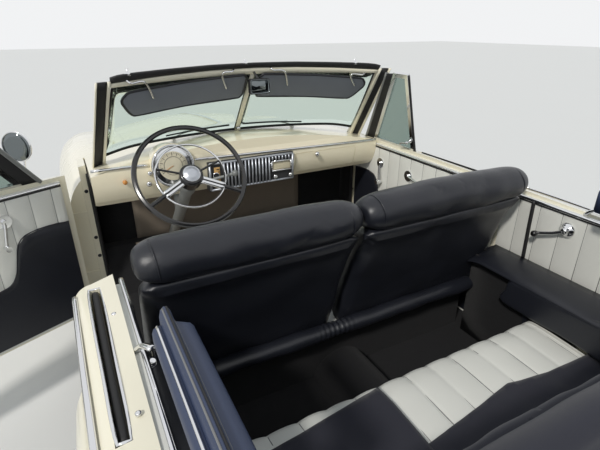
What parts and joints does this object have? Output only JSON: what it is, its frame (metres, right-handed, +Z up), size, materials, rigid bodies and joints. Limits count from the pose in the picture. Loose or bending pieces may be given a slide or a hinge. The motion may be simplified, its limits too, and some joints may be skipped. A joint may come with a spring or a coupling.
{
  "type": "convertible car",
  "caption": "two-door open-top car with rounded body panels, split bench seat backs, chrome trim, opening doors, hood and trunk lid, rolling wheels and working steering",
  "frame": {"origin": "on the ground, on the car's middle plane, halfway between the front and rear axles", "axes": "X forward, Y to the car's left, Z up"},
  "size_m": [5.0404, 2.8156, 1.469],
  "materials": {
    "paint": "gloss",
    "chrome": "polished",
    "black_vinyl": "satin",
    "white_vinyl": "satin",
    "top_cloth": "woven",
    "floor_mat": "satin",
    "frame_black": "satin",
    "glass": "clear",
    "black_plastic": "gloss",
    "grey_paint": "gloss",
    "tyre": "matte",
    "steel": "brushed",
    "iron": "rough",
    "lamp": "polished",
    "red_lens": "gloss"
  },
  "bodies": {
    "car_body": {"armrests": "black_vinyl", "chassis_frame": "frame_black", "cowl": "paint", "dash_grille": "chrome", "dashboard": "paint", "deck_panel": "paint", "door_hinges": "chrome", "engine": "iron", "exhaust": "steel", "floor": "floor_mat", "folded_top": "top_cloth", "front_bumper": "chrome", "front_fenders": "paint", "front_seat_backs": "black_vinyl", "front_seat_cushion": "white_vinyl", "front_suspension": "frame_black", "fuel_tank": "steel", "grille": "chrome", "headlamps": "lamp", "inside_mirror": "chrome", "instrument_cluster": "chrome", "nose_panel": "paint", "pedals": "black_plastic", "quarter_panels": "paint", "quarter_trims": "white_vinyl", "rear_axle": "frame_black", "rear_bumper": "chrome", "rear_fenders": "paint", "rear_seat_back": "black_vinyl", "rear_seat_cushion": "white_vinyl", "steering_column": "grey_paint", "sun_visors": "black_vinyl", "tail_lamps": "red_lens", "tail_panel": "paint", "top_rails": "steel", "windshield_frame": "paint", "windshield_glass": "glass"},
    "door_left_body": {"door_left": "paint", "door_trim_left": "white_vinyl", "door_glass_left": "glass", "door_fittings_left": "chrome", "door_mirror": "chrome"},
    "door_right_body": {"door_right": "paint", "door_trim_right": "white_vinyl", "door_glass_right": "glass", "door_fittings_right": "chrome"},
    "hood_body": {"hood": "paint"},
    "trunk_lid_body": {"trunk_lid": "paint"},
    "steering_wheel_body": {"steering_wheel": "black_plastic"},
    "knuckle_left_body": {"knuckle_left": "iron"},
    "knuckle_right_body": {"knuckle_right": "iron"},
    "road_wheel_front_left": {"tyre_front_left": "tyre", "wheel_front_left": "paint"},
    "road_wheel_front_right": {"tyre_front_right": "tyre", "wheel_front_right": "paint"},
    "road_wheel_rear_left": {"tyre_rear_left": "tyre", "wheel_rear_left": "paint"},
    "road_wheel_rear_right": {"tyre_rear_right": "tyre", "wheel_rear_right": "paint"}
  },
  "joints": [
    {"name": "door_left_swing", "type": "hinge", "parent": "car_body", "child": "door_left_body", "pos_m": [0.646, 0.882, 0.7], "axis": [0, 0, -1], "range_deg": [-65, 3]},
    {"name": "door_right_swing", "type": "hinge", "parent": "car_body", "child": "door_right_body", "pos_m": [0.646, -0.882, 0.7], "axis": [0, 0, 1], "range_deg": [0, 68]},
    {"name": "hood_lift", "type": "hinge", "parent": "car_body", "child": "hood_body", "pos_m": [0.803, 0, 1.1065], "axis": [0, -1, 0], "range_deg": [0, 50]},
    {"name": "trunk_lid_lift", "type": "hinge", "parent": "car_body", "child": "trunk_lid_body", "pos_m": [-1.793, 0, 0.9953], "axis": [0, 1, 0], "range_deg": [0, 60]},
    {"name": "steering_wheel_turn", "type": "hinge", "parent": "car_body", "child": "steering_wheel_body", "pos_m": [0.187, 0.378, 1.041], "axis": [-0.7431, 0, 0.6691], "range_deg": [-520, 520]},
    {"name": "steer_left", "type": "hinge", "parent": "car_body", "child": "knuckle_left_body", "pos_m": [1.4605, 0.655, 0.35], "axis": [0, 0, 1], "range_deg": [-30, 30]},
    {"name": "steer_right", "type": "hinge", "parent": "car_body", "child": "knuckle_right_body", "pos_m": [1.4605, -0.655, 0.35], "axis": [0, 0, 1], "range_deg": [-30, 30]},
    {"name": "roll_front_left", "type": "hinge", "parent": "knuckle_left_body", "child": "road_wheel_front_left", "pos_m": [1.4605, 0.724, 0.35], "axis": [0, 1, 0], "continuous": true},
    {"name": "roll_front_right", "type": "hinge", "parent": "knuckle_right_body", "child": "road_wheel_front_right", "pos_m": [1.4605, -0.724, 0.35], "axis": [0, 1, 0], "continuous": true},
    {"name": "roll_rear_left", "type": "hinge", "parent": "car_body", "child": "road_wheel_rear_left", "pos_m": [-1.4605, 0.746, 0.35], "axis": [0, 1, 0], "continuous": true},
    {"name": "roll_rear_right", "type": "hinge", "parent": "car_body", "child": "road_wheel_rear_right", "pos_m": [-1.4605, -0.746, 0.35], "axis": [0, 1, 0], "continuous": true}
  ],
  "couplings": [
    {"joint": "steer_left", "follows": "steering_wheel_turn", "ratio": 0.0575},
    {"joint": "steer_right", "follows": "steering_wheel_turn", "ratio": 0.0575}
  ]
}
